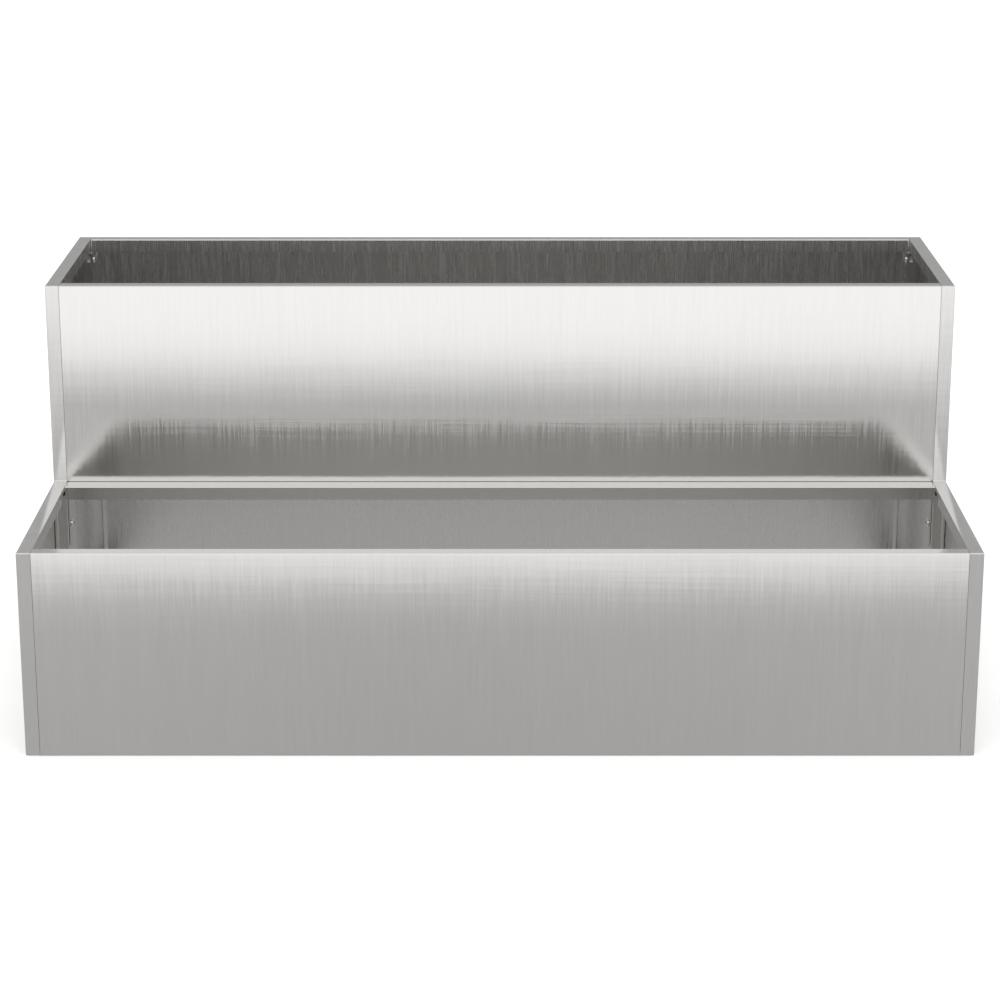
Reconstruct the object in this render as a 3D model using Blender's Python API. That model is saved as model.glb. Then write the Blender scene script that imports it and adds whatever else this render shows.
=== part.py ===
"""Two-tier stepped planter in folded stainless sheet, open at the top and at the bottom.

Metres, +Z up. The origin is on the floor, in the middle of the footprint. X runs along the
length, -Y is the front and the lower tier, +Y is the back and the upper tier.

The front, riser and back panels are shallow trays that open towards the inside, and each has a
lip that turns down from its top rim. They are screwed to the two stepped side panels, whose
rims are channels all the way round. A rail across the step carries the riser.
"""

import math

import bmesh
import bpy
from mathutils import Matrix, Vector

# Driving dimensions of the planter
LENGTH = 1.000
DEPTH = 0.500
HEIGHT = 0.450
STEP_HEIGHT = 0.225
LOWER_TIER_DEPTH = 0.246

# Sheet metal
SHEET = 0.001
BEND = 0.0014
BEND_STEPS = 3
FOLD = 0.015
LIP = 0.015
SEAM = 0.0004
RELIEF = 0.0025
SMOOTH_ANGLE = math.radians(35)

# Step rail: the ledge in front of the riser, and a tab at each end
LEDGE = 0.0195
TAB_LENGTH = 0.076
TAB_WIDTH = 0.020
CORNER_RELIEF = 0.039

# Centre posts, inside the side panels under the step
POST_FRONT = -0.008
POST_BACK = 0.044
POST_FOOT = 0.010
POST_CLEAR = 0.0006

# Fasteners: M5 button-head screws with plain hexagon nuts
THREAD_RADIUS = 0.0025
POINT_CHAMFER = 0.0005
HOLE_RADIUS = 0.0028
HEAD_RADIUS = 0.00475
HEAD_HEIGHT = 0.00275
HEAD_CROWN = 0.0026
SOCKET_RADIUS = 0.0018
SOCKET_DEPTH = 0.0015
SCREW_LENGTH = 0.010
NUT_RADIUS = 0.0046
NUT_HEIGHT = 0.004
REST_GAP = 0.0003
ROUND_SIDES = 16

# Positions worked out from the dimensions above
FRONT_Y = -DEPTH / 2
BACK_Y = DEPTH / 2
RISER_Y = FRONT_Y + LOWER_TIER_DEPTH
SIDE_X = LENGTH / 2
LIP_X = SIDE_X - FOLD
PANEL_X = LIP_X - SEAM
RISER_BOTTOM = STEP_HEIGHT + SEAM
FLANGE_MIDDLE = (FOLD + BEND) / 2

# Where each row of side screws stands, and the heights of its screws above the floor
SCREW_ROWS = {
    "front": (FRONT_Y + FLANGE_MIDDLE, (0.030, 0.195)),
    "riser": (RISER_Y + FLANGE_MIDDLE, (0.255, 0.425)),
    "back": (BACK_Y - FLANGE_MIDDLE, (0.030, 0.2275, 0.425)),
    "rail": (RISER_Y + FLANGE_MIDDLE, (0.174,)),
}
RISER_FOOT_SCREWS = (-0.30, 0.0, 0.30)


def clear_scene():
    for old in list(bpy.data.objects):
        bpy.data.objects.remove(old)


def metal(name, colour, roughness):
    """A bare metal finish."""
    made = bpy.data.materials.new(name)
    made.use_nodes = True
    shader = made.node_tree.nodes["Principled BSDF"]
    shader.inputs["Base Color"].default_value = (*colour, 1.0)
    shader.inputs["Metallic"].default_value = 1.0
    shader.inputs["Roughness"].default_value = roughness
    return made


def add_object(name, bm):
    """Turns a bmesh into an object that is smooth apart from its sharp edges."""
    mesh = bpy.data.meshes.new(name)
    bm.to_mesh(mesh)
    bm.free()
    mesh.shade_smooth()
    mesh.set_sharp_from_angle(angle=SMOOTH_ANGLE)
    made = bpy.data.objects.new(name, mesh)
    bpy.context.scene.collection.objects.link(made)
    return made


def extrude_edges(bm, edges, offset):
    """Extrudes edges by an offset and returns the new edges that lie along the old ones."""
    made = bmesh.ops.extrude_edge_only(bm, edges=edges)["geom"]
    moved = [item for item in made if isinstance(item, bmesh.types.BMVert)]
    bmesh.ops.translate(bm, vec=offset, verts=moved)
    return [
        item for item in made
        if isinstance(item, bmesh.types.BMEdge) and item.verts[0] in moved and item.verts[1] in moved
    ]


def finish_sheet(name, bm, outer_face, inside, material):
    """Rounds the folds of a skin and grows the sheet inwards from it.

    outer_face is a face that looks away from inside, which is the direction of the folds.
    """
    bmesh.ops.recalc_face_normals(bm, faces=bm.faces)
    outer_face.normal_update()
    if outer_face.normal.dot(inside) > 0:
        bmesh.ops.reverse_faces(bm, faces=bm.faces)
    bmesh.ops.bevel(
        bm, geom=[edge for edge in bm.edges if edge.calc_face_angle(0) > SMOOTH_ANGLE],
        offset=BEND, offset_type="OFFSET", segments=BEND_STEPS, profile=0.5,
        affect="EDGES", clamp_overlap=False, material=-1,
    )
    sheet = add_object(name, bm)
    sheet.data.materials.append(material)
    solid = sheet.modifiers.new("thickness", "SOLIDIFY")
    solid.thickness = SHEET
    solid.offset = -1.0
    solid.use_even_offset = True
    solid.use_quality_normals = True
    return sheet


def subtract(blank, cutter):
    """Cuts one object with another, which is kept out of the render."""
    cutter.hide_render = True
    cutter.display_type = "WIRE"
    cut = blank.modifiers.new("cut", "BOOLEAN")
    cut.operation = "DIFFERENCE"
    cut.solver = "EXACT"
    cut.object = cutter


def cylinder(name, places, axis, radius, length, sides):
    """One object with a cylinder at each place, all along one axis."""
    turned = Vector((0, 0, 1)).rotation_difference(Vector(axis)).to_matrix().to_4x4()
    bm = bmesh.new()
    for place in places:
        bmesh.ops.create_cone(
            bm, cap_ends=True, segments=sides, radius1=radius, radius2=radius, depth=length,
            matrix=Matrix.Translation(place) @ turned,
        )
    return add_object(name, bm)


def drill(sheet, places, axis):
    """Drills screw holes through a sheet, along one axis."""
    name = f"{sheet.name}_drill_{len(sheet.modifiers)}"
    subtract(sheet, cylinder(name, places, axis, HOLE_RADIUS, FOLD / 2, ROUND_SIDES))


def level_flats(sheet):
    """Keeps the flat faces evenly shaded up to their folds."""
    weighted = sheet.modifiers.new("level flats", "WEIGHTED_NORMAL")
    weighted.keep_sharp = True


def row_places(row, sides=(-1, 1)):
    """The points where a row's screws pass through the panel flanges."""
    y, heights = SCREW_ROWS[row]
    return [(side * PANEL_X, y, height) for side in sides for height in heights]


def panel(name, y, inward, low, high, material):
    """A long tray with its corners welded, and a lip that turns down from its top rim.

    inward is +1 where the flanges run towards +Y, and -1 where they run towards -Y.
    """
    corners = [(-PANEL_X, low), (PANEL_X, low), (PANEL_X, high), (-PANEL_X, high)]
    bm = bmesh.new()
    web = bm.faces.new([bm.verts.new((x, y, z)) for x, z in corners])
    rim = extrude_edges(bm, list(web.edges), (0, inward * FOLD, 0))
    top = next(edge for edge in rim if all(abs(v.co.z - high) < RELIEF for v in edge.verts))
    lip_corners = []
    for vert in top.verts:
        upright = next(edge for edge in rim if vert in edge.verts and edge is not top)
        lower, foot = bmesh.utils.edge_split(upright, vert, LIP / (high - low))
        rest = lower if foot in lower.verts and vert not in lower.verts else upright
        bmesh.utils.edge_split(rest, foot, RELIEF / rest.calc_length())
        lip_corners.append(foot)
    bm.faces.new((top.verts[0], top.verts[1], lip_corners[1], lip_corners[0]))
    return finish_sheet(name, bm, web, Vector((0, inward, 0)), material)


def side_panel(name, side, material):
    """The stepped side: a flat sheet with a channel rim all the way round."""
    steps = [
        (FRONT_Y, 0.0), (BACK_Y, 0.0), (BACK_Y, HEIGHT),
        (RISER_Y, HEIGHT), (RISER_Y, STEP_HEIGHT), (FRONT_Y, STEP_HEIGHT),
    ]
    bm = bmesh.new()
    skin = bm.faces.new([bm.verts.new((side * SIDE_X, y, z)) for y, z in steps])
    rim = extrude_edges(bm, list(skin.edges), (-side * FOLD, 0, 0))
    mouth = bmesh.ops.edgeloop_fill(bm, edges=rim)["faces"]
    bmesh.ops.inset_region(bm, faces=mouth, thickness=LIP, use_even_offset=True)
    bmesh.ops.delete(bm, geom=mouth, context="FACES_ONLY")
    return finish_sheet(name, bm, skin, Vector((-side, 0, 0)), material)


def relieve_step_corner(sheet, side):
    """Cuts the side panel's lip back in the inner corner of the step."""
    low = Vector((LIP_X - SHEET, RISER_Y - CORNER_RELIEF, STEP_HEIGHT - LIP - SHEET))
    high = Vector((LIP_X + 2 * SHEET, RISER_Y + LIP + SHEET, STEP_HEIGHT - BEND))
    centre = (low + high) / 2
    centre.x *= side
    bm = bmesh.new()
    bmesh.ops.create_cube(
        bm, size=1.0, matrix=Matrix.Translation(centre) @ Matrix.Diagonal((*(high - low), 1.0)),
    )
    subtract(sheet, add_object(sheet.name + "_relief", bm))


def step_rail(name, material):
    """The angle across the step, with a tab folded down at each end of its web.

    The web runs back under the riser's bottom flange. A short cut beside each tab lets it
    fold clear of the ledge.
    """
    front = RISER_Y - LEDGE
    tab_y = SCREW_ROWS["rail"][0]
    tab_front, back = tab_y - TAB_WIDTH / 2, tab_y + TAB_WIDTH / 2
    fold_x = PANEL_X - BEND - SEAM
    right_end = [
        (PANEL_X, front),
        (PANEL_X, tab_front - SHEET),
        (fold_x, tab_front - SHEET),
        (fold_x, tab_front),
        (PANEL_X, tab_front),
        (PANEL_X, back),
    ]
    left_end = [(-x, y) for x, y in reversed(right_end)]
    bm = bmesh.new()
    corners = [bm.verts.new((x, y, STEP_HEIGHT)) for x, y in right_end + left_end]
    web = bm.faces.new(corners)
    for edge in list(web.edges):
        length = edge.calc_length()
        if length > LENGTH / 2 and edge.verts[0].co.y < tab_front:
            extrude_edges(bm, [edge], (0, 0, -LIP))
        elif abs(length - TAB_WIDTH) < SEAM:
            extrude_edges(bm, [edge], (0, 0, -TAB_LENGTH))
    return finish_sheet(name, bm, web, Vector((0, 0, -1)), material)


def centre_post(name, side, material):
    """A hat-section post inside a side panel, under the step. The rail's tab is screwed to it."""
    face_x = side * LIP_X
    foot_x = side * (SIDE_X - 2 * SHEET - POST_CLEAR)
    section = [
        (foot_x, POST_FRONT - POST_FOOT),
        (foot_x, POST_FRONT),
        (face_x, POST_FRONT),
        (face_x, POST_BACK),
        (foot_x, POST_BACK),
        (foot_x, POST_BACK + POST_FOOT),
    ]
    low, high = LIP + POST_CLEAR, STEP_HEIGHT - LIP - POST_CLEAR
    bm = bmesh.new()
    line = [bm.verts.new((x, y, low)) for x, y in section]
    edges = [bm.edges.new(pair) for pair in zip(line, line[1:])]
    extrude_edges(bm, edges, (0, 0, high - low))
    face = next(item for item in edges[2].link_faces)
    return finish_sheet(name, bm, face, Vector((side, 0, 0)), material)


def spun_solid(name, profile):
    """A profile of (radius, height) points turned about +Z. Its ends lie on the axis."""
    bm = bmesh.new()
    line = [bm.verts.new((radius, 0.0, height)) for radius, height in profile]
    edges = [bm.edges.new(pair) for pair in zip(line, line[1:])]
    bmesh.ops.spin(
        bm, geom=line + edges, cent=(0, 0, 0), axis=(0, 0, 1), angle=math.tau,
        steps=ROUND_SIDES, use_merge=True,
    )
    bmesh.ops.remove_doubles(bm, verts=bm.verts, dist=1e-6)
    bmesh.ops.recalc_face_normals(bm, faces=bm.faces)
    return add_object(name, bm)


def cut_mesh(blank, cutter, name, material):
    """The mesh of a cut blank. The blank and its cutter are removed."""
    subtract(blank, cutter)
    graph = bpy.context.evaluated_depsgraph_get()
    mesh = bpy.data.meshes.new_from_object(blank.evaluated_get(graph))
    bpy.data.objects.remove(blank)
    bpy.data.objects.remove(cutter)
    mesh.name = name
    mesh.materials.clear()
    mesh.materials.append(material)
    mesh.set_sharp_from_angle(angle=SMOOTH_ANGLE)
    return mesh


def screw_mesh(material):
    """A button-head screw: the head's underside is at the origin and the shank runs along -Z."""
    dome = [
        (HEAD_CROWN + (HEAD_RADIUS - HEAD_CROWN) * math.cos(turn), HEAD_HEIGHT * math.sin(turn))
        for turn in (math.radians(degrees) for degrees in (20, 50, 90))
    ]
    blank = spun_solid("screw_blank", [
        (0.0, -SCREW_LENGTH),
        (THREAD_RADIUS - POINT_CHAMFER, -SCREW_LENGTH),
        (THREAD_RADIUS, -SCREW_LENGTH + POINT_CHAMFER),
        (THREAD_RADIUS, 0.0),
        (HEAD_RADIUS, 0.0),
        *dome,
        (0.0, HEAD_HEIGHT),
    ])
    mouth = [(0, 0, HEAD_HEIGHT)]
    socket = cylinder("socket", mouth, (0, 0, 1), SOCKET_RADIUS, 2 * SOCKET_DEPTH, 6)
    return cut_mesh(blank, socket, "button_head_screw", material)


def nut_mesh(material):
    """A hexagon nut whose bearing face is at the origin and whose body is along -Z."""
    middle = [(0, 0, -NUT_HEIGHT / 2)]
    blank = cylinder("nut_blank", middle, (0, 0, 1), NUT_RADIUS, NUT_HEIGHT, 6)
    bore = cylinder("bore", middle, (0, 0, 1), HOLE_RADIUS, 2 * NUT_HEIGHT, ROUND_SIDES)
    return cut_mesh(blank, bore, "hexagon_nut", material)


def fasten(label, place, outward, screw, nut):
    """A screw and its nut, which hold a flange against the sheet behind it.

    place is on the flange's hidden face, and outward points from there to the screw's head.
    """
    outward = Vector(outward)
    turned = Vector((0, 0, 1)).rotation_difference(outward)
    for kind, mesh, offset in (
        ("screw", screw, SHEET + REST_GAP),
        ("nut", nut, -(SHEET + SEAM + REST_GAP)),
    ):
        piece = bpy.data.objects.new(f"{label}_{kind}", mesh)
        piece.location = Vector(place) + outward * offset
        piece.rotation_euler = turned.to_euler()
        bpy.context.scene.collection.objects.link(piece)


def fasten_all(screw, nut):
    for side, hand in ((-1, "left"), (1, "right")):
        for row in SCREW_ROWS:
            for number, place in enumerate(row_places(row, (side,)), 1):
                fasten(f"{hand}_{row}_{number}", place, (-side, 0, 0), screw, nut)
    for number, place in enumerate(foot_places(), 1):
        fasten(f"step_{number}", place, (0, 0, 1), screw, nut)


def foot_places():
    """The points where screws pass down through the riser's bottom flange into the rail."""
    return [(x, SCREW_ROWS["riser"][0], RISER_BOTTOM) for x in RISER_FOOT_SCREWS]


def build_panels(steel):
    front = panel("front_panel", FRONT_Y, 1, 0.0, STEP_HEIGHT, steel)
    riser = panel("riser_panel", RISER_Y, 1, RISER_BOTTOM, HEIGHT, steel)
    back = panel("back_panel", BACK_Y, -1, 0.0, HEIGHT, steel)
    rail = step_rail("step_rail", steel)
    for row, sheet in (("front", front), ("riser", riser), ("back", back), ("rail", rail)):
        drill(sheet, row_places(row), (1, 0, 0))
    for sheet in (riser, rail):
        drill(sheet, foot_places(), (0, 0, 1))
    for sheet in (front, riser, back, rail):
        level_flats(sheet)


def build_sides(steel):
    for side, hand in ((-1, "left"), (1, "right")):
        stepped = side_panel(hand + "_side_panel", side, steel)
        relieve_step_corner(stepped, side)
        places = [place for row in ("front", "riser", "back") for place in row_places(row, (side,))]
        drill(stepped, places, (1, 0, 0))
        level_flats(stepped)
        post = centre_post(hand + "_centre_post", side, steel)
        drill(post, row_places("rail", (side,)), (1, 0, 0))
        level_flats(post)


def build():
    clear_scene()
    steel = metal("brushed_stainless", (0.56, 0.56, 0.55), 0.28)
    bright = metal("plain_stainless", (0.66, 0.66, 0.65), 0.2)
    build_panels(steel)
    build_sides(steel)
    fasten_all(screw_mesh(bright), nut_mesh(bright))


build()
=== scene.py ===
"""Looks for a two-tier stepped planter in folded, brushed stainless sheet.

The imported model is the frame: every piece takes its place and size from a CAD node's box. The
panels, rail and posts are folded again with rounder bends and crisp sheet edges, and the
screws and nuts are turned with threads, a socket and chamfers.
"""

import math

import bmesh
import bpy
from mathutils import Matrix, Vector


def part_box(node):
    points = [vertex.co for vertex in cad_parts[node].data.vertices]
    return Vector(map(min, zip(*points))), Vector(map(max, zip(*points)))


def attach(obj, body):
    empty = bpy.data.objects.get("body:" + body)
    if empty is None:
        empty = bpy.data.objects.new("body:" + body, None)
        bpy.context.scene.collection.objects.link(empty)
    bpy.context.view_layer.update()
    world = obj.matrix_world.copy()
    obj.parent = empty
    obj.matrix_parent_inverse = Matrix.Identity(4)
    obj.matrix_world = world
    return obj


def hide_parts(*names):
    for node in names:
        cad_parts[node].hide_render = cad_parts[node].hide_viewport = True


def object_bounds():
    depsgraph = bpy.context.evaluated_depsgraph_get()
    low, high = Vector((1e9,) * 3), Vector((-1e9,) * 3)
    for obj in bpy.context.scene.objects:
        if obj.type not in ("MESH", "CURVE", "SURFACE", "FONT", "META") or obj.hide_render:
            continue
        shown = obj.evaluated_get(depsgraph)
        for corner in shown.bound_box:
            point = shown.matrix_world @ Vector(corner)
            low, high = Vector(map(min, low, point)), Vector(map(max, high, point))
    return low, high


bl_info = {
    "name": "Stepped Planter",
    "version": (1, 0, 0),
    "blender": (4, 5, 0),
    "location": "3D View > Sidebar > Planter",
    "description": "Builds a two-tier planter in folded, brushed stainless sheet",
    "category": "Object",
}

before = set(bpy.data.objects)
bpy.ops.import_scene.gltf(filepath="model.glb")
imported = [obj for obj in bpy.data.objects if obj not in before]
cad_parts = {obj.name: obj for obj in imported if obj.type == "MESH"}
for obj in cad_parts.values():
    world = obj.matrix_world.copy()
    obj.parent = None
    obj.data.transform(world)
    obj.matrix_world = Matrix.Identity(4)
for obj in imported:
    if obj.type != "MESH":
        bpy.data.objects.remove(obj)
CAD_LOW, CAD_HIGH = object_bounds()

SIDES = ((-1, "left"), (1, "right"))
SMOOTH_ANGLE = math.radians(32)
HOLE_SIDES = 32
FLOOR_SIDES = 96
DEBURR_ANGLE = math.radians(60)
DEBURR_STEPS = 2
MERGE = 1e-6

# Sheet features that no CAD box gives, in metres.
TAB_WIDTH = 0.020
FOOT_DEPTH = 0.010
RELIEF_REACH = 0.039

# Where each panel's flanges point along Y, and what sets its faces apart. A crown runs from its
# low to its high height. The front panel's inner face has a duller, paler mill finish, and is
# lightened further as painted light in the shaded interior.
PANELS = {
    "front_panel": {
        "inward": 1, "crown": (0.132, 0.225, math.radians(11.6)), "mill_roughness": 0.45, "mill_and_fill_tone": 0.27,
    },
    "riser_panel": {"inward": 1, "crown": (0.313, 0.450, math.radians(24)), "bow": 0.12},
    "back_panel": {"inward": -1},
}
SIDE_CROWN = (0.235, 0.450, math.radians(11.0))

# The cosines above which a face counts as square to an axis, and as the inner mill face.
SQUARE_ON = 0.9
MILL_FACING = 0.7

# Brush marks. The belt's real lines are about 0.1 mm wide, too fine to show from here, so they are
# drawn as coarse as the sheet's grain setting. A line is LINE_LENGTH times as long as it is wide.
# Bands are groups of lines, and scuffs run across them.
LINE_LENGTH = 35
BAND_SCALE = 0.13
SCUFF_ALONG = 0.4
SCUFF_FINE = 0.6
NOISE_DETAIL = 2.0
GROOVE_DEPTH = 0.00004
GROOVE_STRENGTH = 0.2

# Patterns for each metre: the mottle is about 4 mm across, and the clouds about 200 mm.
MOTTLE_SCALE = 260.0
CLOUD_SCALE = 5.0

# How far the marks change the steel's brightness, its roughness and the lean of its surface.
LINE_TONE = 0.08
FAINT_TONE = 0.03
MILL_LINE_TONE = 0.06
LINE_GLOSS = 0.18
BAND_GLOSS = 0.08
LINE_WAVE = 0.048
SCUFF_WAVE = 0.05

# How the rim is drawn round into the step's inner corner: how far up the strip and along the
# tread it reaches, in metres, and how far each leans at most.
STRIP_REACH = 0.075
STRIP_LEAN = 0.115
TREAD_REACH = 0.21
TREAD_LEAN = 0.10
DRAW_ACROSS = 0.9
DRAW_SLOPE = 0.4

# Turned steel: tool marks of about 0.4 mm under a film of about 3 mm.
TOOL_MARK_SCALE = 2500.0
TOOL_MARK_DEPTH = 0.00003
TOOL_MARK_STRENGTH = 0.3
FILM_SCALE = 300.0
FILM_TONE = 0.2
FILM_GLOSS = 0.14
DULLEST_TONE = 0.88

# Screws and nuts, as shares of their own sizes.
DOME_SHARE = 0.45
DOME_START = 18
DOME_STEPS = 8
THREAD_DEPTH = 0.61
SOCKET_DEPTH = 0.55
POINT_SHARE = 0.9
HEAD_EDGE = 0.03
NUT_FACE = 0.98
NUT_RIM = 1.01
NUT_CHAMFER = 1.2
BORE_MOUTH = 1.08
BORE_CREST = 0.94

# Radiance of the studio as reflections see it, and the light that it sends to all else.
FRONT_GLOW = 1.31
HORIZON_DIP = 0.35
DIP_FALL = 7.0
BACK_GLOW = 0.425
OVERHEAD_GLOW = 0.9
DOME_LIGHT = 1.12

# Where the dome's zones blend, as heights (overhead and back) or depths (side) on a unit dome.
OVERHEAD_BAND = (0.6, 0.95)
BACK_BAND = (0.33, 0.47)
SIDE_BAND = (-0.3, 0.3)

# The ground that reflections see, and the sizes of the stage in metres and its light in watts.
# The reflected ground is painted dimmer beside the planter, as painted shade.
GROUND_NEAR_SHADED = 0.51
GROUND_FAR = 0.94
GROUND_REACH = 2.0
# Painted shade: the ground inside the planter glows dimmer in reflections.
BED_SHADE_GLOW = 0.45
PAPER_ROUGHNESS = 0.9
PAPER_SPECULAR = 0.1
FLOOR_RADIUS = 14.0
CARD_REACH = 20.0
LAYER_GAP = 0.0001
SOFTBOX_POWER = 60.0
SOFTBOX_SIZE = (4.0, 3.0)
SOFTBOX_PLACE = (0.0, -0.6, 3.4)


# ---------------------------------------------------------------- settings


class SheetSettings(bpy.types.PropertyGroup):
    """Sizes and finish of the folded sheets."""

    thickness: bpy.props.FloatProperty(
        name="Sheet", description="Thickness of the stainless sheet", default=0.001, unit="LENGTH",
    )
    bend: bpy.props.FloatProperty(
        name="Bend", description="Outside radius of each fold", default=0.0011, unit="LENGTH",
    )
    seam: bpy.props.FloatProperty(
        name="Seam", description="Gap where two sheets meet edge to edge", default=0.00035, unit="LENGTH",
    )
    bend_steps: bpy.props.IntProperty(
        name="Bend steps", description="Flats that make up one rounded fold", default=7,
    )
    lip: bpy.props.FloatProperty(
        name="Lip", description="Height of the lip that returns from a rim", default=0.015, unit="LENGTH",
    )
    deburr: bpy.props.FloatProperty(
        name="Deburr", description="Rounding of cut edges and welded corners", default=0.00012, unit="LENGTH",
    )
    hole: bpy.props.FloatProperty(
        name="Screw hole", description="Radius of a screw hole", default=0.0028, unit="LENGTH",
    )
    colour: bpy.props.StringProperty(
        name="Steel", description="Brushed stainless, as an sRGB hex value", default="D8D7D5",
    )
    roughness: bpy.props.FloatProperty(
        name="Roughness", description="Gloss of the brushed face", default=0.178, subtype="FACTOR",
    )
    anisotropy: bpy.props.FloatProperty(
        name="Anisotropy", description="How far the grain smears a reflection", default=0.3, subtype="FACTOR",
    )
    inner_roughness: bpy.props.FloatProperty(
        name="Inner roughness", description="Gloss of the unbrushed inner face", default=0.262,
        subtype="FACTOR",
    )
    grain: bpy.props.FloatProperty(
        name="Grain", description="Width that a brushed line is drawn", default=0.0016, unit="LENGTH",
    )


class FastenerSettings(bpy.types.PropertyGroup):
    """Sizes and finish of the M5 screws and nuts."""

    thread: bpy.props.FloatProperty(
        name="Thread", description="Outside radius of the thread", default=0.0025, unit="LENGTH",
    )
    pitch: bpy.props.FloatProperty(
        name="Pitch", description="Distance from one thread to the next", default=0.0008, unit="LENGTH",
    )
    head_height: bpy.props.FloatProperty(
        name="Head height", description="Height of the button head", default=0.00275, unit="LENGTH",
    )
    socket: bpy.props.FloatProperty(
        name="Socket", description="Corner radius of the hexagon socket", default=0.0018, unit="LENGTH",
    )
    colour: bpy.props.StringProperty(
        name="Steel", description="Turned stainless, as an sRGB hex value", default="D2D1CE",
    )
    roughness: bpy.props.FloatProperty(
        name="Roughness", description="Gloss of the turned face", default=0.2, subtype="FACTOR",
    )


class StudioSettings(bpy.types.PropertyGroup):
    """Camera and floor."""

    distance: bpy.props.FloatProperty(
        name="Distance", description="Camera to the middle of the footprint", default=2.846, unit="LENGTH",
    )
    height: bpy.props.FloatProperty(
        name="Height", description="Camera above the floor", default=1.121, unit="LENGTH",
    )
    pitch: bpy.props.FloatProperty(
        name="Pitch", description="How far the camera looks down", default=math.radians(15.74),
        subtype="ANGLE",
    )
    lens: bpy.props.FloatProperty(
        name="Lens", description="Focal length in millimetres", default=95.7,
    )
    sensor: bpy.props.FloatProperty(
        name="Sensor", description="Width of the sensor in millimetres", default=36.0,
    )
    shift: bpy.props.FloatProperty(
        name="Shift", description="How far the lens is shifted, as a share of the frame", default=-0.1,
    )
    floor_colour: bpy.props.StringProperty(
        name="Floor", description="Pale floor, as an sRGB hex value", default="F4F4F3",
    )


class PlanterSettings(bpy.types.PropertyGroup):
    """All that a user would change."""

    sheet: bpy.props.PointerProperty(type=SheetSettings)
    fastener: bpy.props.PointerProperty(type=FastenerSettings)
    studio: bpy.props.PointerProperty(type=StudioSettings)


# ---------------------------------------------------------------- nodes and materials


def linear(colour):
    """An sRGB hex value as linear RGBA."""
    parts = [int(colour[i:i + 2], 16) / 255 for i in (0, 2, 4)]
    return (*[p / 12.92 if p <= 0.04045 else ((p + 0.055) / 1.055) ** 2.4 for p in parts], 1.0)


def node(tree, kind, *values, **settings):
    """Adds a node. values go to its inputs in order, and settings to its attributes or inputs by name.

    A value is a number, a socket, a node, which stands for its first output in use, or None.
    """
    made = tree.nodes.new("ShaderNode" + kind)
    targets = []
    for key, value in settings.items():
        if hasattr(made, key):
            setattr(made, key, value)
        else:
            targets.append((made.inputs[key.replace("_", " ")], value))
    for target, value in [*targets, *zip(made.inputs, values)]:
        if isinstance(value, bpy.types.Node):
            value = next(output for output in value.outputs if output.enabled)
        if isinstance(value, bpy.types.NodeSocket):
            tree.links.new(value, target)
        elif value is not None:
            target.default_value = value
    return made


def blank_steel(name, roughness):
    """A new material with a bare metal shader, as the material, its tree and its shader."""
    made = bpy.data.materials.new(name)
    made.use_nodes = True
    shader = made.node_tree.nodes["Principled BSDF"]
    shader.inputs["Metallic"].default_value = 1.0
    shader.inputs["Roughness"].default_value = roughness
    return made, made.node_tree, shader


def step_corner_lean(tree, place, front, level):
    """How the stepped rim is drawn round into its inner corner, most along its inner edge.

    Returns the lean of the level tread towards -Y, and that of the upright strip towards +Z.
    """
    sheet = bpy.context.scene.planter.sheet
    step_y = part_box("riser_panel")[0].y
    step_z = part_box("front_panel")[1].z
    lip_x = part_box("left_side_panel")[1].x
    from_middle = node(tree, "Math", place.outputs["X"], operation="ABSOLUTE")
    across = node(tree, "Math", from_middle, -lip_x, operation="SUBTRACT")
    across = node(tree, "Math", across, DRAW_ACROSS / sheet.lip, operation="MULTIPLY")

    above = node(tree, "Math", place.outputs["Z"], step_z, operation="SUBTRACT")
    near_riser = node(tree, "Math", place.outputs["Y"], step_y - sheet.lip, operation="GREATER_THAN")
    before = node(tree, "Math", step_y, place.outputs["Y"], operation="SUBTRACT")
    on_step = node(tree, "Math", place.outputs["Z"], step_z + sheet.lip, operation="LESS_THAN")
    leans = []
    for distance, reach, most, facing, place_mask in (
        (above, STRIP_REACH, STRIP_LEAN, front, near_riser),
        (before, TREAD_REACH, TREAD_LEAN, level, on_step),
    ):
        share = node(tree, "Math", distance, 1 / reach, operation="MULTIPLY")
        share = node(tree, "Math", 1.0, share, operation="SUBTRACT")
        share = node(tree, "Math", share, across, operation="SUBTRACT")
        share = node(tree, "Clamp", share)
        share = node(tree, "Math", share, place_mask, operation="MULTIPLY")
        share = node(tree, "Math", share, facing, operation="MULTIPLY")
        steep = node(tree, "Math", share, DRAW_SLOPE, operation="MULTIPLY")
        leans.append(node(tree, "Math", steep, most, operation="MINIMUM"))
    upwards, forwards = leans
    return node(tree, "Math", forwards, -1.0, operation="MULTIPLY"), upwards


def brush_patterns(tree, position, flat, across):
    """The noises of a belt-brushed sheet: fine lines, broad bands of them, and cross scuffs."""
    fine = 1.0 / bpy.context.scene.planter.sheet.grain
    along = fine / LINE_LENGTH
    upright_at = node(tree, "Mapping", position, Scale=(fine, fine, along))
    rim_scale = (fine, along, along) if across == "X" else (along, fine, along)
    flat_at = node(tree, "Mapping", position, Scale=rim_scale)
    lines_at = node(tree, "Mix", flat, None, None, None, upright_at, flat_at, data_type="VECTOR")
    lines = node(tree, "TexNoise", lines_at, Scale=1.0, Detail=NOISE_DETAIL, Roughness=0.6)
    broad_at = node(tree, "VectorMath", lines_at, operation="SCALE", Scale=BAND_SCALE)
    broad = node(tree, "TexNoise", broad_at, Scale=1.0, Detail=NOISE_DETAIL)
    scuff_scale = (along * SCUFF_ALONG, along * SCUFF_ALONG, fine * SCUFF_FINE)
    scuffs_at = node(tree, "Mapping", position, Scale=scuff_scale)
    scuffs = node(tree, "TexNoise", scuffs_at, Scale=1.0, Detail=NOISE_DETAIL)
    return lines, broad, scuffs


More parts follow.
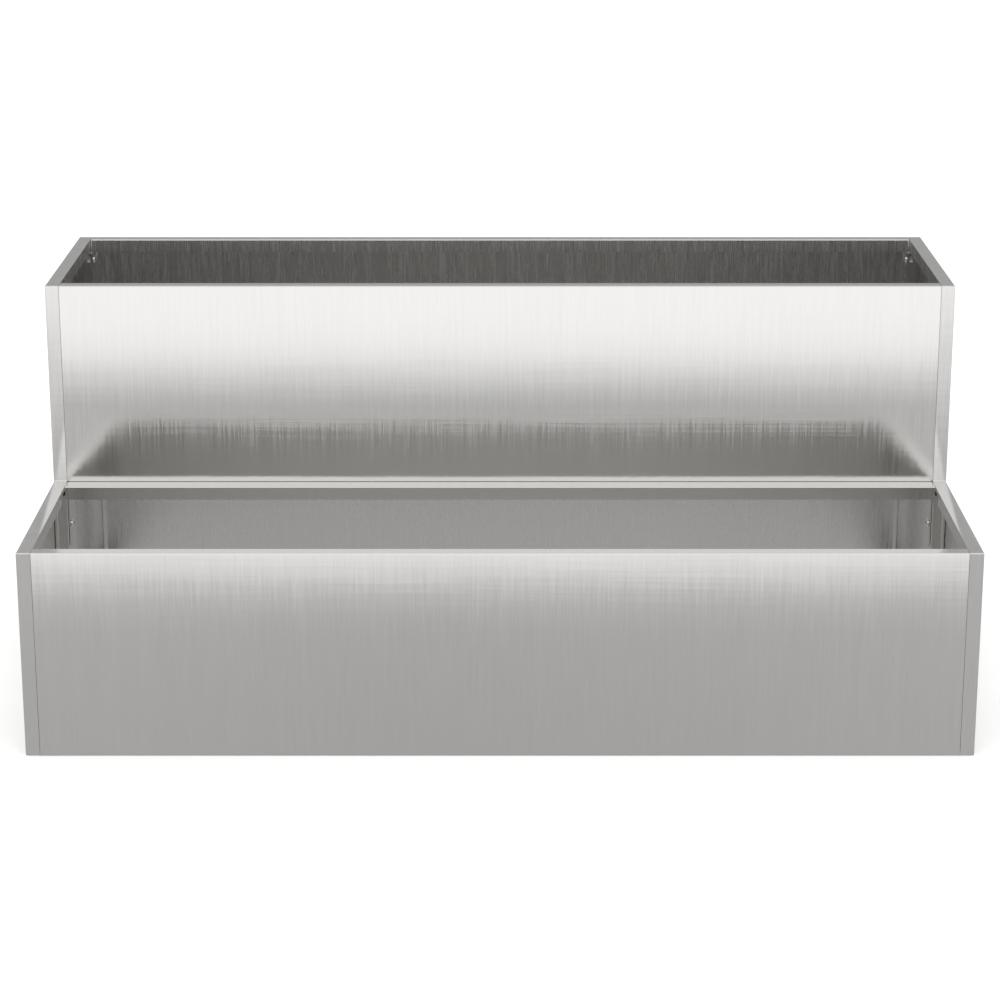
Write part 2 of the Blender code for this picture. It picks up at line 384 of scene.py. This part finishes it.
def brushed_stainless(
    name, across, inner, crown=None, bow=0.0, stepped=False, mill_roughness=0.0, mill_and_fill_tone=0.0,
):
    """Austenitic stainless sheet, belt-brushed along its height, so lines run up the faces.

    The grooves smear reflections sideways and leave them sharper up and down. across is the
    axis that the lines are spaced along on a rim. inner is the way that the unbrushed mill
    finish faces. crown is (low, high, tilt) of the front face's crown, and bow is how far it
    leans sideways for each metre from the middle. mill_roughness and mill_and_fill_tone are the inner
    face's own roughness, and how much brighter than the outside it is.
    """
    sheet = bpy.context.scene.planter.sheet
    made, tree, shader = blank_steel(name, sheet.roughness)
    shader.inputs["Anisotropic"].default_value = sheet.anisotropy
    position = node(tree, "TexCoord").outputs["Object"]
    place = node(tree, "SeparateXYZ", position)
    normal = node(tree, "NewGeometry").outputs["Normal"]
    facing = node(tree, "SeparateXYZ", normal)
    level = node(tree, "Math", facing.outputs["Z"], SQUARE_ON, operation="GREATER_THAN")
    steepness = node(tree, "Math", facing.outputs["Z"], operation="ABSOLUTE")
    flat = node(tree, "Math", steepness, 0.5, operation="GREATER_THAN")
    forward = node(tree, "Math", facing.outputs["Y"], -SQUARE_ON, operation="LESS_THAN")
    ahead = node(tree, "Math", place.outputs["Y"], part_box("back_panel")[0].y, operation="LESS_THAN")
    front = node(tree, "Math", forward, ahead, operation="MULTIPLY")
    inwards = node(tree, "VectorMath", normal, inner, operation="DOT_PRODUCT")
    mill = node(tree, "Math", inwards, MILL_FACING, operation="GREATER_THAN")

    lines, broad, scuffs = brush_patterns(tree, position, flat, across)
    mottle = node(tree, "TexNoise", position, Scale=MOTTLE_SCALE, Detail=NOISE_DETAIL)
    cloud = node(tree, "TexNoise", position, Scale=CLOUD_SCALE, Detail=NOISE_DETAIL)
    centred = node(tree, "Math", lines, 0.5, operation="SUBTRACT")

    patterns = ((lines, LINE_TONE), (broad, FAINT_TONE), (mottle, FAINT_TONE), (cloud, FAINT_TONE))
    tone = 1.0 - 0.5 * sum(strength for _, strength in patterns)
    for pattern, strength in patterns:
        tone = node(tree, "Math", pattern, strength, tone, operation="MULTIPLY_ADD")
    drawn = node(tree, "Math", centred, mill, operation="MULTIPLY")
    tone = node(tree, "Math", drawn, MILL_LINE_TONE, tone, operation="MULTIPLY_ADD")
    # The inner face is lightened: partly a paler mill finish, and partly painted light in the shaded
    # interior.
    tone = node(tree, "Math", mill, mill_and_fill_tone, tone, operation="MULTIPLY_ADD")
    colour = node(tree, "VectorMath", linear(sheet.colour)[:3], operation="SCALE", Scale=tone)
    tree.links.new(colour.outputs[0], shader.inputs["Base Color"])

    spread = 0.5 * (LINE_GLOSS + BAND_GLOSS)
    gloss = node(tree, "Math", lines, LINE_GLOSS, sheet.roughness - spread, operation="MULTIPLY_ADD")
    gloss = node(tree, "Math", broad, BAND_GLOSS, gloss, operation="MULTIPLY_ADD")
    duller = (mill_roughness or sheet.inner_roughness) - sheet.roughness
    gloss = node(tree, "Math", mill, duller, gloss, operation="MULTIPLY_ADD")
    tree.links.new(gloss.outputs[0], shader.inputs["Roughness"])
    tangent = node(tree, "Tangent", direction_type="RADIAL", axis="Z")
    tree.links.new(tangent.outputs[0], shader.inputs["Tangent"])

    wave = node(tree, "Math", centred, LINE_WAVE, operation="MULTIPLY")
    scuffed = node(tree, "Math", scuffs, 0.5, operation="SUBTRACT")
    wave = node(tree, "Math", scuffed, SCUFF_WAVE, wave, operation="MULTIPLY_ADD")
    upright = node(tree, "Math", 1.0, flat, operation="SUBTRACT")
    upwards = node(tree, "Math", wave, upright, operation="MULTIPLY")
    sideways = node(tree, "Math", wave, level, operation="MULTIPLY")
    bowed = node(tree, "Math", place.outputs["X"], bow, operation="MULTIPLY")
    outwards = node(tree, "Math", bowed, front, operation="MULTIPLY")
    if crown:
        low, high, tilt = crown
        rise = node(
            tree, "MapRange", place.outputs["Z"],
            From_Min=low, From_Max=high, To_Min=0.0, To_Max=math.tan(tilt),
        )
        crowned = node(tree, "Math", rise, front, operation="MULTIPLY")
        upwards = node(tree, "Math", upwards, crowned, operation="ADD")
    if stepped:
        towards, up = step_corner_lean(tree, place, front, level)
        upwards = node(tree, "Math", upwards, up, operation="ADD")
        sideways = node(tree, "Math", sideways, towards, operation="ADD")
    offset = node(tree, "CombineXYZ", outwards, sideways, upwards)
    leant = node(tree, "VectorMath", normal, offset, operation="ADD")
    leant = node(tree, "VectorMath", leant, operation="NORMALIZE")
    bump = node(tree, "Bump", Height=lines, Normal=leant, Strength=GROOVE_STRENGTH, Distance=GROOVE_DEPTH)
    tree.links.new(bump.outputs[0], shader.inputs["Normal"])
    return made


def turned_stainless():
    """Cold-headed and turned A2 stainless: brighter than the sheet, with faint tool marks."""
    fastener = bpy.context.scene.planter.fastener
    made, tree, shader = blank_steel("turned_stainless", fastener.roughness)
    position = node(tree, "TexCoord").outputs["Object"]
    marks = node(tree, "TexNoise", position, Scale=TOOL_MARK_SCALE, Detail=3.0)
    film = node(tree, "TexNoise", position, Scale=FILM_SCALE, Detail=NOISE_DETAIL)
    tone = node(tree, "Math", film, FILM_TONE, DULLEST_TONE, operation="MULTIPLY_ADD")
    colour = node(tree, "VectorMath", linear(fastener.colour)[:3], operation="SCALE", Scale=tone)
    tree.links.new(colour.outputs[0], shader.inputs["Base Color"])
    smoothest = fastener.roughness - 0.5 * FILM_GLOSS
    gloss = node(tree, "Math", film, FILM_GLOSS, smoothest, operation="MULTIPLY_ADD")
    tree.links.new(gloss.outputs[0], shader.inputs["Roughness"])
    bump = node(tree, "Bump", Height=marks, Strength=TOOL_MARK_STRENGTH, Distance=TOOL_MARK_DEPTH)
    tree.links.new(bump.outputs[0], shader.inputs["Normal"])
    return made


# ---------------------------------------------------------------- mesh helpers


def object_from(name, bm):
    """A bmesh as an object at the origin, smooth apart from its sharp edges."""
    mesh = bpy.data.meshes.new(name)
    bm.to_mesh(mesh)
    bm.free()
    mesh.shade_smooth()
    mesh.set_sharp_from_angle(angle=SMOOTH_ANGLE)
    made = bpy.data.objects.new(name, mesh)
    bpy.context.scene.collection.objects.link(made)
    return made


def settle(piece, material, slot, *nodes):
    """Gives a finished piece its material and body, and hides the CAD nodes that it stands for. slot is not
    used.
    """
    piece.data.materials.clear()
    piece.data.materials.append(material)
    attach(piece, "root")
    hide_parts(*nodes)


def evaluated(made, name):
    """A copy of an object's mesh with its modifiers applied."""
    graph = bpy.context.evaluated_depsgraph_get()
    mesh = bpy.data.meshes.new_from_object(made.evaluated_get(graph))
    mesh.name = name
    return mesh


def combine(blank, tool, operation):
    """Applies a Boolean to blank and removes the tool."""
    cut = blank.modifiers.new("cut", "BOOLEAN")
    cut.operation = operation
    cut.solver = "EXACT"
    cut.object = tool
    mesh = evaluated(blank, blank.name)
    old = blank.data
    blank.modifiers.clear()
    blank.data = mesh
    bpy.data.meshes.remove(old)
    bpy.data.objects.remove(tool)


def extrude_edges(bm, edges, offset):
    """Extrudes edges by an offset and returns the new edges that lie along the old ones."""
    made = bmesh.ops.extrude_edge_only(bm, edges=edges)["geom"]
    moved = [item for item in made if isinstance(item, bmesh.types.BMVert)]
    bmesh.ops.translate(bm, vec=offset, verts=moved)
    return [
        item for item in made
        if isinstance(item, bmesh.types.BMEdge) and item.verts[0] in moved and item.verts[1] in moved
    ]


def folded(name, bm, outer_face, inside, bends):
    """Rounds the bends of a skin and grows the sheet inwards, with deburred edges and corners.

    outer_face is a face that looks away from inside, which is the direction of the folds.
    """
    sheet = bpy.context.scene.planter.sheet
    bmesh.ops.recalc_face_normals(bm, faces=bm.faces)
    outer_face.normal_update()
    if outer_face.normal.dot(inside) > 0:
        bmesh.ops.reverse_faces(bm, faces=bm.faces)
    bmesh.ops.bevel(
        bm, geom=bends,
        offset=sheet.bend, offset_type="OFFSET", segments=sheet.bend_steps, profile=0.5,
        affect="EDGES", clamp_overlap=False, material=-1,
    )
    made = object_from(name, bm)
    solid = made.modifiers.new("thickness", "SOLIDIFY")
    solid.thickness = sheet.thickness
    solid.offset = -1.0
    solid.use_even_offset = True
    solid.use_quality_normals = True
    round_edges = made.modifiers.new("deburr", "BEVEL")
    round_edges.width = sheet.deburr
    round_edges.segments = DEBURR_STEPS
    round_edges.limit_method = "ANGLE"
    round_edges.angle_limit = DEBURR_ANGLE
    mesh = evaluated(made, name)
    old = made.data
    made.modifiers.clear()
    made.data = mesh
    bpy.data.meshes.remove(old)
    return made


def drilled(made, screws, axis):
    """Cuts a screw hole wherever one of the named screws passes through the sheet."""
    radius = bpy.context.scene.planter.sheet.hole
    turned = Vector((0, 0, 1)).rotation_difference(Vector(axis)).to_matrix().to_4x4()
    bm = bmesh.new()
    for screw in screws:
        low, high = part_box(screw)
        bmesh.ops.create_cone(
            bm, cap_ends=True, segments=HOLE_SIDES, radius1=radius, radius2=radius,
            depth=(high - low).dot(Vector(axis)), matrix=Matrix.Translation((low + high) / 2) @ turned,
        )
    combine(made, object_from(made.name + "_drill", bm), "DIFFERENCE")


def level_flats(made):
    """Keeps the flat faces evenly shaded right up to their folds."""
    made.data.shade_smooth()
    made.data.set_sharp_from_angle(angle=SMOOTH_ANGLE)
    weighted = made.modifiers.new("level flats", "WEIGHTED_NORMAL")
    weighted.keep_sharp = True


def screws_in(row, hands=("left", "right")):
    """The names of the screws of one row."""
    wanted = tuple(f"{hand}_{row}_" for hand in hands)
    return sorted(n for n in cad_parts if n.startswith(wanted) and n.endswith("_screw"))


def step_screws():
    """The names of the screws that run down into the rail."""
    return sorted(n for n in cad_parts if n.startswith("step_") and n.endswith("_screw"))


# ---------------------------------------------------------------- pieces


def tray(name, inward):
    """A long tray with welded corners, and a lip that turns down from its top rim.

    inward is +1 where the flanges run towards +Y, and -1 where they run towards -Y.
    """
    sheet = bpy.context.scene.planter.sheet
    low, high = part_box(name)
    y = low.y if inward > 0 else high.y
    lip_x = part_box("right_side_panel")[0].x - sheet.seam
    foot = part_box("front_panel")[1].z + sheet.seam if low.z > 0 else low.z
    relief = sheet.lip / 6  # the flange starts this far under the lip
    corners = [(-lip_x, foot), (lip_x, foot), (lip_x, high.z), (-lip_x, high.z)]
    bm = bmesh.new()
    web = bm.faces.new([bm.verts.new((x, y, z)) for x, z in corners])
    rim = extrude_edges(bm, list(web.edges), (0, inward * (high.y - low.y), 0))
    top = next(edge for edge in rim if all(high.z - v.co.z < relief for v in edge.verts))
    bends = [edge for edge in web.edges if all(high.z - v.co.z < relief for v in edge.verts)]
    lip_corners = []
    for vert in top.verts:
        upright = next(edge for edge in rim if vert in edge.verts and edge is not top)
        lower, heel = bmesh.utils.edge_split(upright, vert, sheet.lip / (high.z - foot))
        rest = lower if heel in lower.verts and vert not in lower.verts else upright
        bmesh.utils.edge_split(rest, heel, relief / rest.calc_length())
        lip_corners.append(heel)
    lip = bm.faces.new((top.verts[0], top.verts[1], lip_corners[1], lip_corners[0]))
    bends += [edge for edge in lip.edges if len(edge.link_faces) > 1]
    return folded(name + "_sheet", bm, web, Vector((0, inward, 0)), bends)


def stepped_side(name, side):
    """The stepped side: a flat sheet with a channel rim all the way round."""
    lip = bpy.context.scene.planter.sheet.lip
    low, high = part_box(name)
    step_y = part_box("riser_panel")[0].y
    step_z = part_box("front_panel")[1].z
    outer = high.x if side > 0 else low.x
    outline = [
        (low.y, low.z), (high.y, low.z), (high.y, high.z),
        (step_y, high.z), (step_y, step_z), (low.y, step_z),
    ]
    bm = bmesh.new()
    skin = bm.faces.new([bm.verts.new((outer, y, z)) for y, z in outline])
    rim = extrude_edges(bm, list(skin.edges), (-side * (high.x - low.x), 0, 0))
    inner = [vert for edge in rim for vert in edge.verts]
    bends = [edge for edge in bm.edges if not all(vert in inner for vert in edge.verts)]
    mouth = bmesh.ops.edgeloop_fill(bm, edges=rim)["faces"]
    bmesh.ops.inset_region(bm, faces=mouth, thickness=lip, use_even_offset=True)
    bmesh.ops.delete(bm, geom=mouth, context="FACES_ONLY")
    return folded(name + "_sheet", bm, skin, Vector((-side, 0, 0)), bends)


def relieve_step_corner(made, side):
    """Cuts the side panel's lip back in the inner corner of the step."""
    sheet = bpy.context.scene.planter.sheet
    lip_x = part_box("left_side_panel")[1].x
    riser_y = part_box("riser_panel")[0].y
    step_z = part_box("front_panel")[1].z
    thick = sheet.thickness
    low = Vector((-lip_x - thick, riser_y - RELIEF_REACH, step_z - sheet.lip - thick))
    high = Vector((-lip_x + 2 * thick, riser_y + sheet.lip + thick, step_z - sheet.lip / 3))
    centre = (low + high) / 2
    centre.x *= side
    bm = bmesh.new()
    bmesh.ops.create_cube(
        bm, size=1.0, matrix=Matrix.Translation(centre) @ Matrix.Diagonal((*(high - low), 1.0)),
    )
    combine(made, object_from(made.name + "_relief", bm), "DIFFERENCE")


def rail():
    """The angle across the step, with a tab folded down at each end of its web."""
    sheet = bpy.context.scene.planter.sheet
    low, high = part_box("step_rail")
    screw_low, screw_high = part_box("left_rail_1_screw")
    tab_y = (screw_low.y + screw_high.y) / 2
    front_of_tab = tab_y - TAB_WIDTH / 2
    gap = sheet.thickness
    fold_x = high.x - sheet.bend - gap / 2
    right_end = [
        (high.x, low.y),
        (high.x, front_of_tab - gap),
        (fold_x, front_of_tab - gap),
        (fold_x, front_of_tab),
        (high.x, front_of_tab),
        (high.x, high.y),
    ]
    left_end = [(-x, y) for x, y in reversed(right_end)]
    bm = bmesh.new()
    web = bm.faces.new([bm.verts.new((x, y, high.z)) for x, y in right_end + left_end])
    for edge in list(web.edges):
        length = edge.calc_length()
        if length > high.x and edge.verts[0].co.y < front_of_tab:
            extrude_edges(bm, [edge], (0, 0, -sheet.lip))
        elif abs(length - TAB_WIDTH) < gap / 2:
            extrude_edges(bm, [edge], (0, 0, low.z - high.z))
    bends = [edge for edge in bm.edges if edge.calc_face_angle(0) > SMOOTH_ANGLE]
    return folded("step_rail_sheet", bm, web, Vector((0, 0, -1)), bends)


def post(name, side):
    """A hat-section post under the step."""
    low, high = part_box(name)
    thick = bpy.context.scene.planter.sheet.thickness
    face_x = low.x if side > 0 else high.x
    foot_x = high.x - thick if side > 0 else low.x + thick
    section = [
        (foot_x, low.y),
        (foot_x, low.y + FOOT_DEPTH),
        (face_x, low.y + FOOT_DEPTH),
        (face_x, high.y - FOOT_DEPTH),
        (foot_x, high.y - FOOT_DEPTH),
        (foot_x, high.y),
    ]
    bm = bmesh.new()
    line = [bm.verts.new((x, y, low.z)) for x, y in section]
    edges = [bm.edges.new(pair) for pair in zip(line, line[1:])]
    extrude_edges(bm, edges, (0, 0, high.z - low.z))
    bends = [edge for edge in bm.edges if edge.calc_face_angle(0) > SMOOTH_ANGLE]
    return folded(name + "_sheet", bm, edges[2].link_faces[0], Vector((side, 0, 0)), bends)


def spun(name, profile):
    """A profile of (radius, height) points turned about +Z. Its ends lie on the axis."""
    bm = bmesh.new()
    line = [bm.verts.new((radius, 0.0, height)) for radius, height in profile]
    edges = [bm.edges.new(pair) for pair in zip(line, line[1:])]
    bmesh.ops.spin(
        bm, geom=line + edges, cent=(0, 0, 0), axis=(0, 0, 1), angle=math.tau,
        steps=HOLE_SIDES, use_merge=True,
    )
    bmesh.ops.remove_doubles(bm, verts=bm.verts, dist=MERGE)
    bmesh.ops.recalc_face_normals(bm, faces=bm.faces)
    return object_from(name, bm)


def hexagon(name, corner_radius, low, high):
    """A hexagonal prism about +Z."""
    bm = bmesh.new()
    bmesh.ops.create_cone(
        bm, cap_ends=True, segments=6, radius1=corner_radius, radius2=corner_radius,
        depth=high - low, matrix=Matrix.Translation((0, 0, (low + high) / 2)),
    )
    return object_from(name, bm)


def thread_profile(crest, root, start, end):
    """(radius, height) points of the thread's crests and roots from start up to end."""
    pitch = bpy.context.scene.planter.fastener.pitch
    turns = int((end - start) / pitch)
    points = []
    for turn in range(turns):
        height = start + turn * pitch
        points += [(root, height), (crest, height + pitch / 2)]
    return points + [(root, start + turns * pitch)]


def screw_shape(head_radius, length):
    """A button-head screw: the head's underside is at the origin and the shank runs along -Z."""
    fastener = bpy.context.scene.planter.fastener
    dome_radius = head_radius * DOME_SHARE
    dome_step = (90 - DOME_START) / DOME_STEPS
    arc = [math.radians(DOME_START + dome_step * step) for step in range(DOME_STEPS + 1)]
    dome = [
        (head_radius - dome_radius * (1 - math.cos(turn)), fastener.head_height * math.sin(turn))
        for turn in arc
    ]
    root = fastener.thread - THREAD_DEPTH * fastener.pitch
    screw = spun("screw_blank", [
        (0.0, -length),
        (root * POINT_SHARE, -length),
        *thread_profile(fastener.thread, root, -length + fastener.pitch / 2, -fastener.pitch),
        (fastener.thread, -fastener.pitch / 2),
        (fastener.thread, 0.0),
        (head_radius * (1 - HEAD_EDGE), 0.0),
        (head_radius, head_radius * HEAD_EDGE),
        *dome,
        (0.0, fastener.head_height),
    ])
    depth = fastener.head_height * SOCKET_DEPTH
    tool = hexagon("socket", fastener.socket, fastener.head_height - depth, fastener.head_height + depth)
    combine(screw, tool, "DIFFERENCE")
    return screw


def nut_shape(corner_radius, height):
    """A chamfered hexagon nut whose bearing face is at the origin and whose body is along -Z."""
    fastener = bpy.context.scene.planter.fastener
    nut = hexagon("nut_blank", corner_radius, -height, 0.0)
    flats = corner_radius * math.cos(math.radians(30))
    drop = (corner_radius - flats) * math.tan(math.radians(30)) * NUT_CHAMFER
    face = flats * NUT_FACE
    rim = corner_radius * NUT_RIM
    envelope = spun("nut_chamfer", [
        (0.0, -height), (face, -height), (rim, -height + drop), (rim, -drop), (face, 0.0), (0.0, 0.0),
    ])
    combine(nut, envelope, "INTERSECT")
    clear = bpy.context.scene.planter.sheet.hole
    mouth = clear * BORE_MOUTH
    beyond = height / 2
    half_pitch = fastener.pitch / 2
    bore = spun("nut_bore", [
        (0.0, -height - beyond),
        (mouth, -height - beyond),
        (mouth, -height),
        *thread_profile(clear, clear * BORE_CREST, -height + half_pitch, -half_pitch),
        (mouth, 0.0),
        (mouth, beyond),
        (0.0, beyond),
    ])
    combine(nut, bore, "DIFFERENCE")
    return nut


def place_fasteners(pattern, suffix, seat, material):
    """Copies a pattern to every CAD node with the suffix.

    seat is how far the pattern's origin lies behind the end of the node's box that faces the
    inside of the planter, measured along the fastener.
    """
    for name in sorted(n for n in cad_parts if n.endswith(suffix)):
        low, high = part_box(name)
        centre = (low + high) / 2
        if name.startswith("step_"):
            outward = Vector((0, 0, 1))
            end = Vector((centre.x, centre.y, high.z))
        else:
            outward = Vector((1, 0, 0)) if centre.x < 0 else Vector((-1, 0, 0))
            end = Vector((high.x if centre.x < 0 else low.x, centre.y, centre.z))
        turned = Vector((0, 0, 1)).rotation_difference(outward).to_matrix().to_4x4()
        mesh = pattern.data.copy()
        mesh.transform(Matrix.Translation(end - outward * seat) @ turned)
        piece = bpy.data.objects.new(name + "_turned", mesh)
        bpy.context.scene.collection.objects.link(piece)
        mesh.shade_smooth()
        mesh.set_sharp_from_angle(angle=SMOOTH_ANGLE)
        settle(piece, material, "fastener", name)
    bpy.data.objects.remove(pattern)


# ---------------------------------------------------------------- operators


class PLANTER_OT_panels(bpy.types.Operator):
    """Fold the front, riser and back panels"""

    bl_idname = "planter.panels"
    bl_label = "Front, Riser and Back"

    def execute(self, context):
        for name, looks in PANELS.items():
            looks = dict(looks)
            inward = looks.pop("inward")
            made = tray(name, inward)
            drilled(made, screws_in(name.split("_")[0]), (1, 0, 0))
            if name == "riser_panel":
                drilled(made, step_screws(), (0, 0, 1))
            level_flats(made)
            steel = brushed_stainless("brushed_stainless_" + name, "X", (0, inward, 0), **looks)
            settle(made, steel, "brushed_sheet", name)
        return {"FINISHED"}


class PLANTER_OT_sides(bpy.types.Operator):
    """Fold the two stepped side panels"""

    bl_idname = "planter.sides"
    bl_label = "Side Panels"

    def execute(self, context):
        for side, hand in SIDES:
            steel = brushed_stainless(
                f"brushed_stainless_{hand}_side", "Y", (-side, 0, 0),
                crown=SIDE_CROWN, stepped=True,
            )
            name = hand + "_side_panel"
            made = stepped_side(name, side)
            relieve_step_corner(made, side)
            screws = [s for row in ("front", "riser", "back") for s in screws_in(row, (hand,))]
            drilled(made, screws, (1, 0, 0))
            level_flats(made)
            settle(made, steel, "brushed_sheet", name)
        return {"FINISHED"}


class PLANTER_OT_rail(bpy.types.Operator):
    """Fold the rail across the step"""

    bl_idname = "planter.rail"
    bl_label = "Step Rail"

    def execute(self, context):
        made = rail()
        drilled(made, screws_in("rail"), (1, 0, 0))
        drilled(made, step_screws(), (0, 0, 1))
        level_flats(made)
        steel = brushed_stainless("brushed_stainless_rail", "X", (0, 0, -1))
        settle(made, steel, "brushed_sheet", "step_rail")
        return {"FINISHED"}


class PLANTER_OT_posts(bpy.types.Operator):
    """Fold the two centre posts"""

    bl_idname = "planter.posts"
    bl_label = "Centre Posts"

    def execute(self, context):
        steel = brushed_stainless("brushed_stainless_posts", "Y", (0, 0, -1))
        for side, hand in SIDES:
            name = hand + "_centre_post"
            made = post(name, side)
            drilled(made, screws_in("rail", (hand,)), (1, 0, 0))
            level_flats(made)
            settle(made, steel, "brushed_sheet", name)
        return {"FINISHED"}


class PLANTER_OT_fasteners(bpy.types.Operator):
    """Turn the screws and nuts"""

    bl_idname = "planter.fasteners"
    bl_label = "Screws and Nuts"

    def execute(self, context):
        steel = turned_stainless()
        fastener = context.scene.planter.fastener
        low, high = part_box("left_front_1_screw")
        screw = screw_shape((high.z - low.z) / 2, high.x - low.x - fastener.head_height)
        place_fasteners(screw, "_screw", fastener.head_height, steel)
        low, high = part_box("left_front_1_nut")
        nut = nut_shape((high.y - low.y) / 2, high.x - low.x)
        place_fasteners(nut, "_nut", 0.0, steel)
        return {"FINISHED"}


def pale_floor():
    """Seamless studio paper: a matt, near-white sheet that takes only soft shadows."""
    studio = bpy.context.scene.planter.studio
    made = bpy.data.materials.new("studio_paper")
    made.use_nodes = True
    shader = made.node_tree.nodes["Principled BSDF"]
    shader.inputs["Base Color"].default_value = linear(studio.floor_colour)
    shader.inputs["Roughness"].default_value = PAPER_ROUGHNESS
    shader.inputs["Specular IOR Level"].default_value = PAPER_SPECULAR
    return made


def card_material(name, near, far, reach):
    """A grey glow that reflections see as the ground, with painted shade: near beside the planter, and rising
    to far from about reach outwards.
    """
    made = bpy.data.materials.new(name)
    made.use_nodes = True
    tree = made.node_tree
    tree.nodes.remove(tree.nodes["Principled BSDF"])
    position = node(tree, "TexCoord").outputs["Object"]
    away = node(tree, "VectorMath", position, operation="LENGTH")
    ratio = node(tree, "Math", away, reach, operation="DIVIDE")
    square = node(tree, "Math", ratio, 2.0, operation="POWER")
    square = node(tree, "Math", square, 1.0, operation="ADD")
    glow = node(tree, "Math", near - far, square, operation="DIVIDE")
    shade = node(tree, "Emission", Strength=node(tree, "Math", glow, far, operation="ADD"))
    tree.links.new(shade.outputs[0], tree.nodes["Material Output"].inputs["Surface"])
    return made


def ground_card(name, low, high, height, material):
    """A level sheet on the ground, from low to high, that only reflections can see."""
    corners = ((low.x, low.y), (high.x, low.y), (high.x, high.y), (low.x, high.y))
    bm = bmesh.new()
    bm.faces.new([bm.verts.new((x, y, height)) for x, y in corners])
    card = object_from(name, bm)
    card.data.materials.append(material)
    for ray in ("camera", "diffuse", "transmission", "volume_scatter", "shadow"):
        setattr(card, "visible_" + ray, False)


def make_floor():
    """The paper, with the cards that reflections see in its place just above it."""
    levels = [CAD_LOW.z - LAYER_GAP * step for step in (4, 3, 2)]
    bm = bmesh.new()
    bmesh.ops.create_circle(
        bm, cap_ends=True, segments=FLOOR_SIDES, radius=FLOOR_RADIUS,
        matrix=Matrix.Translation((0, 0, levels[0])),
    )
    floor = object_from("studio_floor", bm)
    floor.data.materials.append(pale_floor())
    wide = Vector((CARD_REACH, CARD_REACH))
    # Painted shade: the floor card dims towards the planter.
    around = card_material("floor_glow", GROUND_NEAR_SHADED, GROUND_FAR, GROUND_REACH)
    ground_card("floor_card", -wide, wide, levels[1], around)
    # Painted shade: the bed card is the dim ground inside the planter.
    ground_card("bed_card", CAD_LOW, CAD_HIGH, levels[2], card_material("bed_shade_glow", BED_SHADE_GLOW, BED_SHADE_GLOW, 1.0))


def make_softbox():
    """A soft rectangular light over the planter, which reflections don't see."""
    data = bpy.data.lights.new("overhead_softbox", "AREA")
    data.shape = "RECTANGLE"
    data.size, data.size_y = SOFTBOX_SIZE
    data.energy = SOFTBOX_POWER
    made = bpy.data.objects.new("overhead_softbox", data)
    made.location = SOFTBOX_PLACE
    made.rotation_euler = (-Vector(SOFTBOX_PLACE)).to_track_quat("-Z", "Y").to_euler()
    made.visible_glossy = False
    made.visible_camera = False
    bpy.context.scene.collection.objects.link(made)


def make_world():
    """A dome that reflections see bright in front, and dim behind near the horizon."""
    world = bpy.data.worlds.new("studio_dome")
    bpy.context.scene.world = world
    world.use_nodes = True
    tree = world.node_tree
    background = tree.nodes["Background"]
    direction = node(tree, "SeparateXYZ", node(tree, "TexCoord").outputs["Generated"])
    up, away = direction.outputs["Z"], direction.outputs["Y"]
    ramps = [
        node(
            tree, "MapRange", along, interpolation_type="SMOOTHSTEP",
            From_Min=start, From_Max=stop, To_Min=lowest, To_Max=highest,
        )
        for along, start, stop, lowest, highest in (
            (up, *OVERHEAD_BAND, 0.0, 1.0),
            (up, *BACK_BAND, BACK_GLOW, OVERHEAD_GLOW),
            (away, *SIDE_BAND, 0.0, 1.0),
        )
    ]
    overhead, back, side = ramps
    fall = node(tree, "Math", up, -DIP_FALL, operation="MULTIPLY")
    fall = node(tree, "Math", fall, operation="EXPONENT")
    front = node(tree, "Math", fall, -HORIZON_DIP, FRONT_GLOW, operation="MULTIPLY_ADD")
    front = node(tree, "Mix", overhead, None, front, OVERHEAD_GLOW, data_type="FLOAT")
    glossy = node(tree, "Mix", side, None, front, back, data_type="FLOAT")
    seen = node(tree, "LightPath").outputs["Is Glossy Ray"]
    strength = node(tree, "Mix", seen, None, DOME_LIGHT, glossy, data_type="FLOAT")
    tree.links.new(strength.outputs[0], background.inputs["Strength"])
    background.inputs["Color"].default_value = (1.0, 1.0, 1.0, 1.0)


def make_camera():
    """The camera, in front of the planter and looking down at it."""
    studio = bpy.context.scene.planter.studio
    data = bpy.data.cameras.new("camera")
    data.sensor_width = studio.sensor
    data.lens = studio.lens
    data.shift_y = studio.shift
    made = bpy.data.objects.new("camera", data)
    made.location = (0.0, -studio.distance, studio.height)
    made.rotation_euler = (math.pi / 2 - studio.pitch, 0.0, 0.0)
    bpy.context.scene.collection.objects.link(made)
    bpy.context.scene.camera = made


class PLANTER_OT_stage(bpy.types.Operator):
    """Set up the floor, light and camera"""

    bl_idname = "planter.stage"
    bl_label = "Stage"

    def execute(self, context):
        context.scene.view_settings.view_transform = "Standard"
        make_floor()
        make_world()
        make_softbox()
        make_camera()
        return {"FINISHED"}


STEPS = (
    PLANTER_OT_stage,
    PLANTER_OT_panels,
    PLANTER_OT_sides,
    PLANTER_OT_rail,
    PLANTER_OT_posts,
    PLANTER_OT_fasteners,
)


class PLANTER_PT_sidebar(bpy.types.Panel):
    """Lists the steps that build the planter"""

    bl_idname = "PLANTER_PT_sidebar"
    bl_label = "Stepped Planter"
    bl_space_type = "VIEW_3D"
    bl_region_type = "UI"
    bl_category = "Planter"

    def draw(self, context):
        for step in STEPS:
            self.layout.operator(step.bl_idname)


CLASSES = (SheetSettings, FastenerSettings, StudioSettings, PlanterSettings, *STEPS, PLANTER_PT_sidebar)


def register():
    for cls in CLASSES:
        bpy.utils.register_class(cls)
    bpy.types.Scene.planter = bpy.props.PointerProperty(type=PlanterSettings)


def unregister():
    del bpy.types.Scene.planter
    for cls in reversed(CLASSES):
        bpy.utils.unregister_class(cls)


def main():
    register()
    for step in STEPS:
        group, verb = step.bl_idname.split(".")
        getattr(getattr(bpy.ops, group), verb)()


if __name__ == "__main__":
    main()
